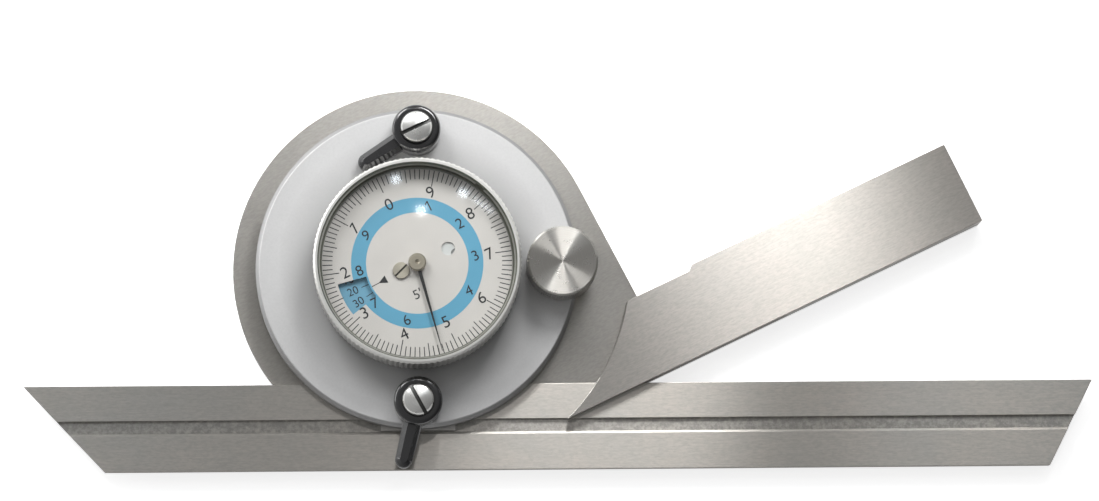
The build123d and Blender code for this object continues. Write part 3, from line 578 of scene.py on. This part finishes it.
def print_dial():
    """Scale, numerals, blue ring and index on the face, which stays with the stock."""
    black = ink("print_black", (0.012, 0.012, 0.014), 0.5)
    blue = ink("print_blue", (0.115, 0.37, 0.54), 0.5)
    window_low = STOCK_ANGLE + WINDOW_DIRECTION - WINDOW_HALF
    window_high = STOCK_ANGLE + WINDOW_DIRECTION + WINDOW_HALF
    ring = sector_outlines(BLUE_RING[0], BLUE_RING[1], window_high, window_low + 360)
    ring += sector_outlines(BLUE_RING[0], WINDOW[0], window_low, window_high)
    printed("minute_ring", ring, FACE_TOP, blue, "stock")
    ticks = []
    for index in range(TICK_COUNT):
        kind = "long" if index % 12 == 0 else "middle" if index % 6 == 0 else "short"
        direction = STOCK_ANGLE + 90 + 360 / TICK_COUNT * index
        ticks.append(bar_outline(TICK_INNER[kind], TICK_OUTER, direction, TICK_WIDTH))
    printed("minute_ticks", ticks, FACE_TOP, black, "stock")
    outer = []
    for number in range(10):
        x, y = outer_label_place(number)
        outer.append((str(number), x, y, OUTER_NUMERAL_SIZE, STOCK_ANGLE))
    inner = []
    for number in (1, 2, 3, 4, 6, 7, 8, 9):
        x, y = on_circle(INNER_NUMERAL_RADIUS, STOCK_ANGLE + 90 - NUMBER_STEP * number)
        inner.append((str(number), x, y, INNER_NUMERAL_SIZE, STOCK_ANGLE))
    lettering("outer_numerals", outer, FACE_TOP + INK, black, "stock")
    lettering("inner_numerals", inner, FACE_TOP + INK, black, "stock")
    x, y = on_circle(LEGEND_RADIUS, STOCK_ANGLE + LEGEND_DIRECTION)
    legend = [("5′", x, y, LEGEND_SIZE, STOCK_ANGLE)]
    lettering("minute_legend", legend, FACE_TOP, black, "stock")
    base, apex, half = INDEX_TRIANGLE
    along = on_circle(1.0, INDEX_DIRECTION)
    triangle = [
        (base * along[0] - half * along[1], base * along[1] + half * along[0]),
        (apex * along[0], apex * along[1]),
        (base * along[0] + half * along[1], base * along[1] - half * along[0]),
    ]
    triangle.reverse()
    line = bar_outline(INDEX_LINE[0], INDEX_LINE[1], INDEX_DIRECTION, INDEX_LINE_WIDTH)
    printed("index_mark", [triangle, line], FACE_TOP, black, "stock")


def print_tens():
    """Tens of degrees on the disc behind the window, which turns with the turret."""
    black = bpy.data.materials["print_black"]
    lines = []
    labels = []
    for index in range(360 // TENS_STEP):
        direction = TENS_START + TENS_STEP * index
        turn = index % 18
        value = 10 * (turn if turn <= 9 else 18 - turn)
        x, y = on_circle(TENS_RADIUS, direction)
        labels.append((str(value), x, y, TENS_SIZE, direction - 180))
        lines.append(bar_outline(TENS_LINE[0], TENS_LINE[1], direction, TENS_LINE_WIDTH))
    printed("tens_ticks", lines, TENS_TOP, black, "turret")
    lettering("tens_numerals", labels, TENS_TOP, black, "turret")


def make_camera():
    """Camera at the photograph's angle: nearly straight above, tilted by about nine degrees."""
    data = bpy.data.cameras.new("camera")
    data.sensor_width = 36.0
    data.lens = 133.98
    data.clip_start = 0.05
    data.clip_end = 10.0
    camera = bpy.data.objects.new("camera", data)
    camera.rotation_euler = Euler((0.152043, -0.039216, -0.011816), "XYZ")
    camera.location = camera.rotation_euler.to_matrix() @ (Vector((37.509, 6.300, 1156.128)) * MM)
    bpy.context.scene.collection.objects.link(camera)
    bpy.context.scene.camera = camera


def area_lamp(name, place, size, radiance, target=(0, 0, 0), colour=(1, 1, 1)):
    """A rectangular lamp that faces a target, given its radiance."""
    data = bpy.data.lights.new(name, "AREA")
    data.shape = "RECTANGLE"
    data.size = size[0]
    data.size_y = size[1]
    data.energy = radiance * math.pi * size[0] * size[1]
    data.color = colour
    lamp = bpy.data.objects.new(name, data)
    lamp.location = place
    lamp.rotation_euler = (Vector(target) - Vector(place)).to_track_quat("-Z", "Y").to_euler()
    bpy.context.scene.collection.objects.link(lamp)
    return lamp


def far_lamp(name, direction, size, radiance, distance=1.0, **settings):
    """A lamp placed by its direction from the dial. Its size is the one it would have a metre away."""
    place = Vector(direction).normalized() * distance
    return area_lamp(name, place, (size[0] * distance, size[1] * distance), radiance, **settings)


def make_light():
    """Plain studio light: a tall lamp behind the blade, a soft one at the left, small ones overhead."""
    far_lamp("key", (0.066, 0.165, 0.185), (0.37, 0.30), 15.0, 0.26)
    far_lamp("fill", (-0.42, 0.66, 0.58), (0.36, 0.5), 10.0)
    far_lamp("side", (0.287, 0.60, 0.72), (0.03, 0.30), 20.0)
    far_lamp("glint_high", (0.025, 0.356, 0.935), (0.04, 0.04), 24.0, 8.0, colour=(1.0, 0.97, 0.96))
    far_lamp("glint_left", (-0.077, 0.481, 0.872), (0.035, 0.035), 24.0, 8.0, colour=(0.85, 0.93, 1.0))
    far_lamp("glint_right", (0.196, 0.424, 0.883), (0.035, 0.035), 24.0, 8.0, colour=(0.85, 0.93, 1.0))
    far_lamp("glint_streak", (0.27, 0.37, 0.87), (0.10, 0.018), 14.0, 8.0, colour=(0.9, 0.95, 1.0))
    far_lamp("edge", (-0.82, 0.45, 0.2), (1.0, 0.2), 5.0)
    world = bpy.data.worlds.new("world")
    bpy.context.scene.world = world
    world.use_nodes = True
    tree = world.node_tree
    tree.nodes.clear()
    direction = node(tree, "SeparateXYZ", {0: node(tree, "TexCoord").outputs["Generated"]})
    north = spread(tree, direction.outputs["Y"], -0.3, 1.0, 0.05, 0.31)
    west = math_node(tree, "MULTIPLY", direction.outputs["X"], -1.0)
    level = math_node(tree, "ADD", north, spread(tree, west, -1.0, 1.0, 0.0, 0.46))
    background = node(tree, "Background", {"Color": level, "Strength": 1.0})
    output = node(tree, "OutputWorld")
    tree.links.new(background.outputs[0], output.inputs[0])


def make_floor():
    """Plain pale floor, seen white, which keeps a soft shadow."""
    material, tree, output = start_material("floor_white")
    seen = node(tree, "LightPath")
    shown = math_node(tree, "ADD", seen.outputs["Is Camera Ray"], seen.outputs["Is Transmission Ray"])
    shown = math_node(tree, "MULTIPLY_ADD", seen.outputs["Is Glossy Ray"], 0.3, shown)
    lift = math_node(tree, "MULTIPLY", math_node(tree, "MINIMUM", shown, 1.0), 0.7)
    paint = node(tree, "BsdfDiffuse", {"Color": (0.8, 0.8, 0.8, 1)})
    glow = node(tree, "Emission", {"Color": (1, 1, 1, 1), "Strength": lift})
    both = node(tree, "AddShader", {0: paint.outputs[0], 1: glow.outputs[0]})
    tree.links.new(both.outputs[0], output.inputs[0])
    half = 3.0
    mesh = bpy.data.meshes.new("floor")
    corners = [(-half, -half, 0), (half, -half, 0), (half, half, 0), (-half, half, 0)]
    mesh.from_pydata(corners, [], [(0, 1, 2, 3)])
    mesh.materials.append(material)
    floor = bpy.data.objects.new("floor", mesh)
    floor.location.z = -0.02 * MM
    bpy.context.scene.collection.objects.link(floor)


make_camera()
make_light()
make_floor()
dress_nodes()
for edged, edge_width in EDGE_WIDTHS.items():
    soften_edges(edged, edge_width)
print_dial()
print_tens()

bpy.context.scene.view_settings.view_transform = "Standard"
